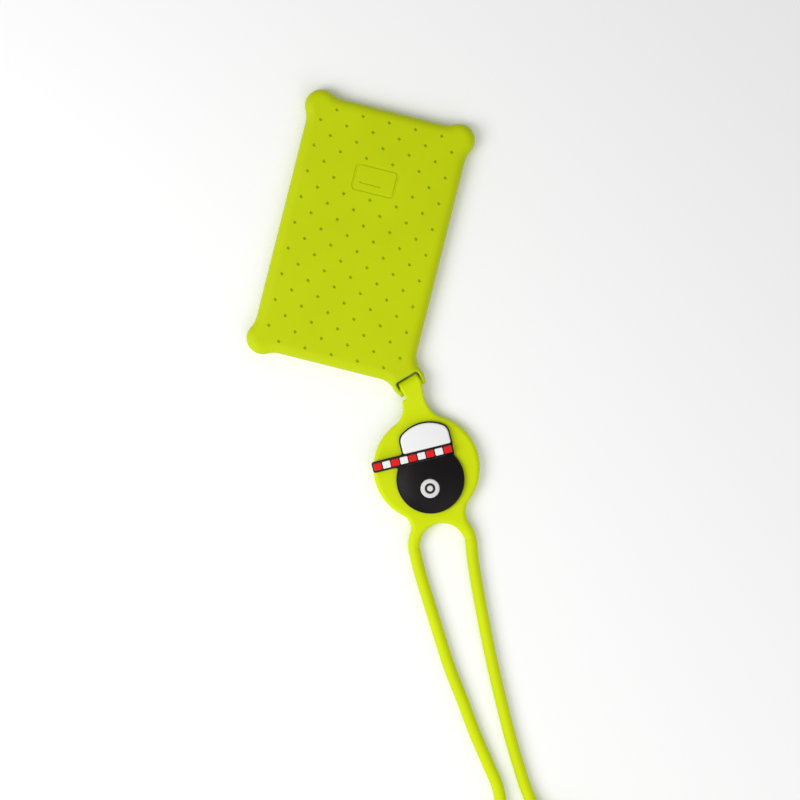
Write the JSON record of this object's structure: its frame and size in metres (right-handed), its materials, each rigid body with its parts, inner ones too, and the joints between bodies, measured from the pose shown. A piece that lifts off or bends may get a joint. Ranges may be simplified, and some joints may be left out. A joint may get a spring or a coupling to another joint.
{
  "type": "silicone card holder with neck lanyard",
  "caption": "Soft moulded card sleeve with rounded ears and a dimpled back, on a looped neck lanyard with a round pendant and a turning badge.",
  "frame": {"origin": "centre of the sleeve on the flat face of the lip round its window, which is the face it lies on", "axes": "+X across the card, towards the lanyard's side; +Y along the card, away from the lanyard; +Z out of the dimpled back, up as it lies"},
  "size_m": [0.1998, 0.3143, 0.0106],
  "materials": {
    "lime_silicone": "satin moulded silicone, fine grain",
    "yellow_lime_silicone": "satin moulded silicone, fine grain",
    "black_rubber": "satin soft rubber",
    "white_rubber": "smooth satin rubber",
    "red_rubber": "smooth satin rubber",
    "dark_rubber": "smooth satin rubber",
    "tie_plastic": "frosted soft plastic"
  },
  "bodies": {
    "lanyard": {"lanyard_yoke": "yellow_lime_silicone", "cord_left": "yellow_lime_silicone", "cord_right": "yellow_lime_silicone", "cord_coil": "yellow_lime_silicone", "coil_tie": "tie_plastic"},
    "sleeve": {"card_sleeve": "lime_silicone"},
    "badge": {"badge_body": "black_rubber", "badge_panel": "white_rubber", "badge_band": "black_rubber", "band_red_tiles": "red_rubber", "band_white_tiles": "white_rubber", "badge_button": "white_rubber", "button_ring": "dark_rubber", "badge_stud": "dark_rubber", "badge_cap": "dark_rubber"}
  },
  "joints": [
    {"name": "sleeve_swing", "type": "hinge", "parent": "lanyard", "child": "sleeve", "pos_m": [0.0331, -0.0508, 0.0035], "axis": [0.7071, 0.7071, 0], "range_deg": [0, 100]},
    {"name": "badge_turn", "type": "hinge", "parent": "lanyard", "child": "badge", "pos_m": [0.0466, -0.0802, 0.0053], "axis": [0, 0, 1], "continuous": true}
  ]
}
